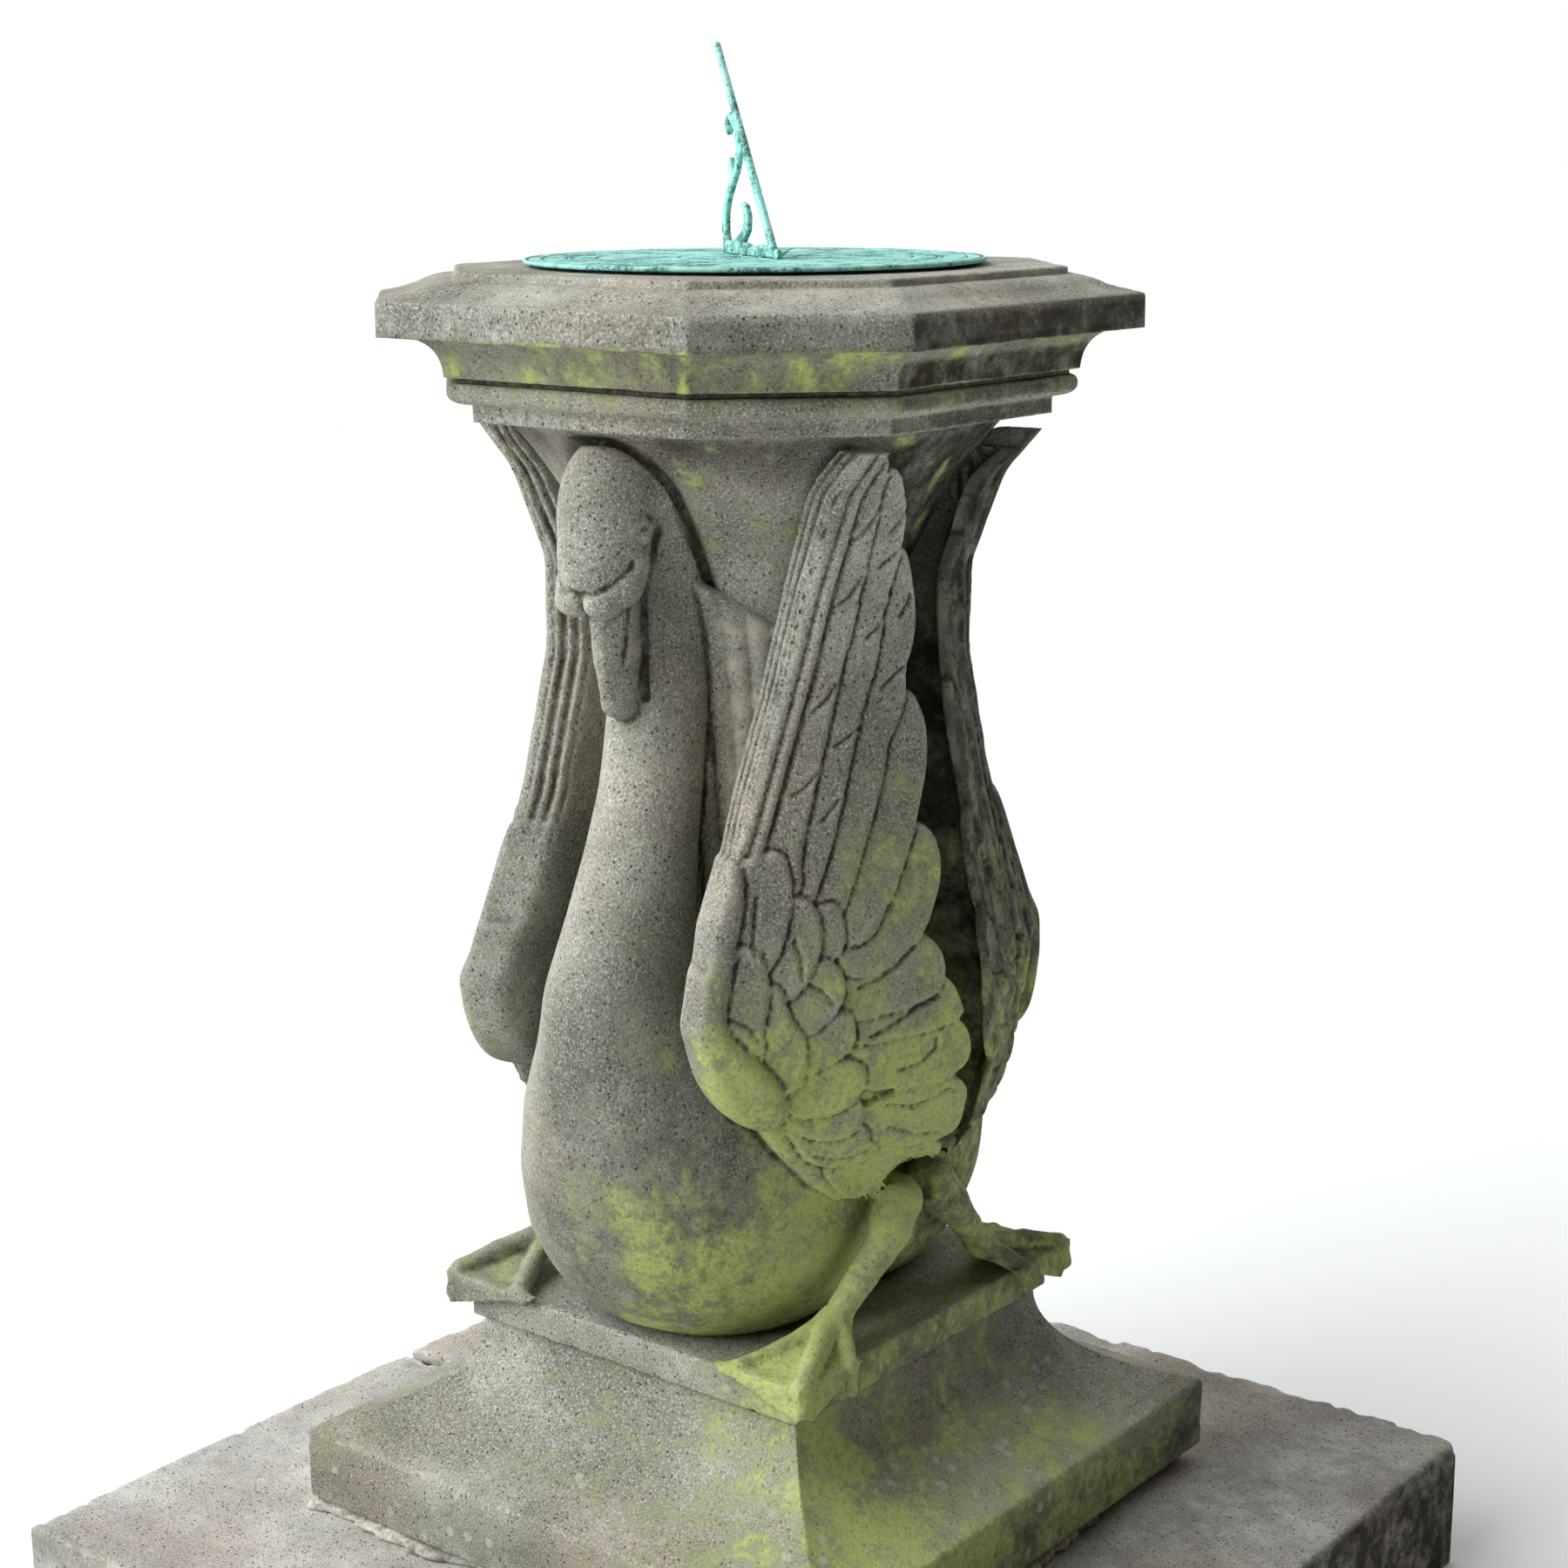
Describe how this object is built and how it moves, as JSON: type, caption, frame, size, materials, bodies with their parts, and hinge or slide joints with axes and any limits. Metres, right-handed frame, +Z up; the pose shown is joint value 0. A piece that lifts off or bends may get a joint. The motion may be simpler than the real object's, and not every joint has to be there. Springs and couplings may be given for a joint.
{
  "type": "garden sundial",
  "caption": "Stone pedestal sundial: two swans back to back hold up an eight-sided moulded cap with a round bronze dial plate and gnomon, on a low slab step.",
  "frame": {"origin": "centre of the underside of the step, on the ground and on the pedestal's axis", "axes": "+Z up along the pedestal's axis, -Y towards the front swan, +X across it; the joint between the two slabs runs along X"},
  "size_m": [0.74, 0.74, 1.1155],
  "materials": {
    "step_stone": "worn dark grey-brown slab with a slight sheen, dust and pale broken arrises",
    "mortar": "rough pale lime mortar",
    "pedestal_stone": "weathered grey-beige fine-grained stone with dark speckle, green algae and pale lichen",
    "dowel_steel": "plain round bar",
    "lead": "dull grey lead run into the holes",
    "bronze": "pale turquoise verdigris with dark brown-black streaks"
  },
  "bodies": {
    "root": {"step_slab_front": "step_stone", "step_slab_rear": "step_stone", "step_joint_mortar": "mortar", "bedding_mortar": "mortar", "base_joint_mortar": "mortar", "cap_joint_mortar": "mortar", "dial_bed": "mortar", "base_block": "pedestal_stone", "shaft_core": "pedestal_stone", "front_swan": "pedestal_stone", "rear_swan": "pedestal_stone", "cap_stone": "pedestal_stone", "base_dowel": "dowel_steel", "cap_dowel": "dowel_steel", "swan_pins": "dowel_steel", "dial_plugs": "lead", "dial_pegs": "bronze", "dial_plate": "bronze", "gnomon_style": "bronze", "gnomon_scroll": "bronze", "gnomon_screws": "bronze"}
  },
  "joints": []
}
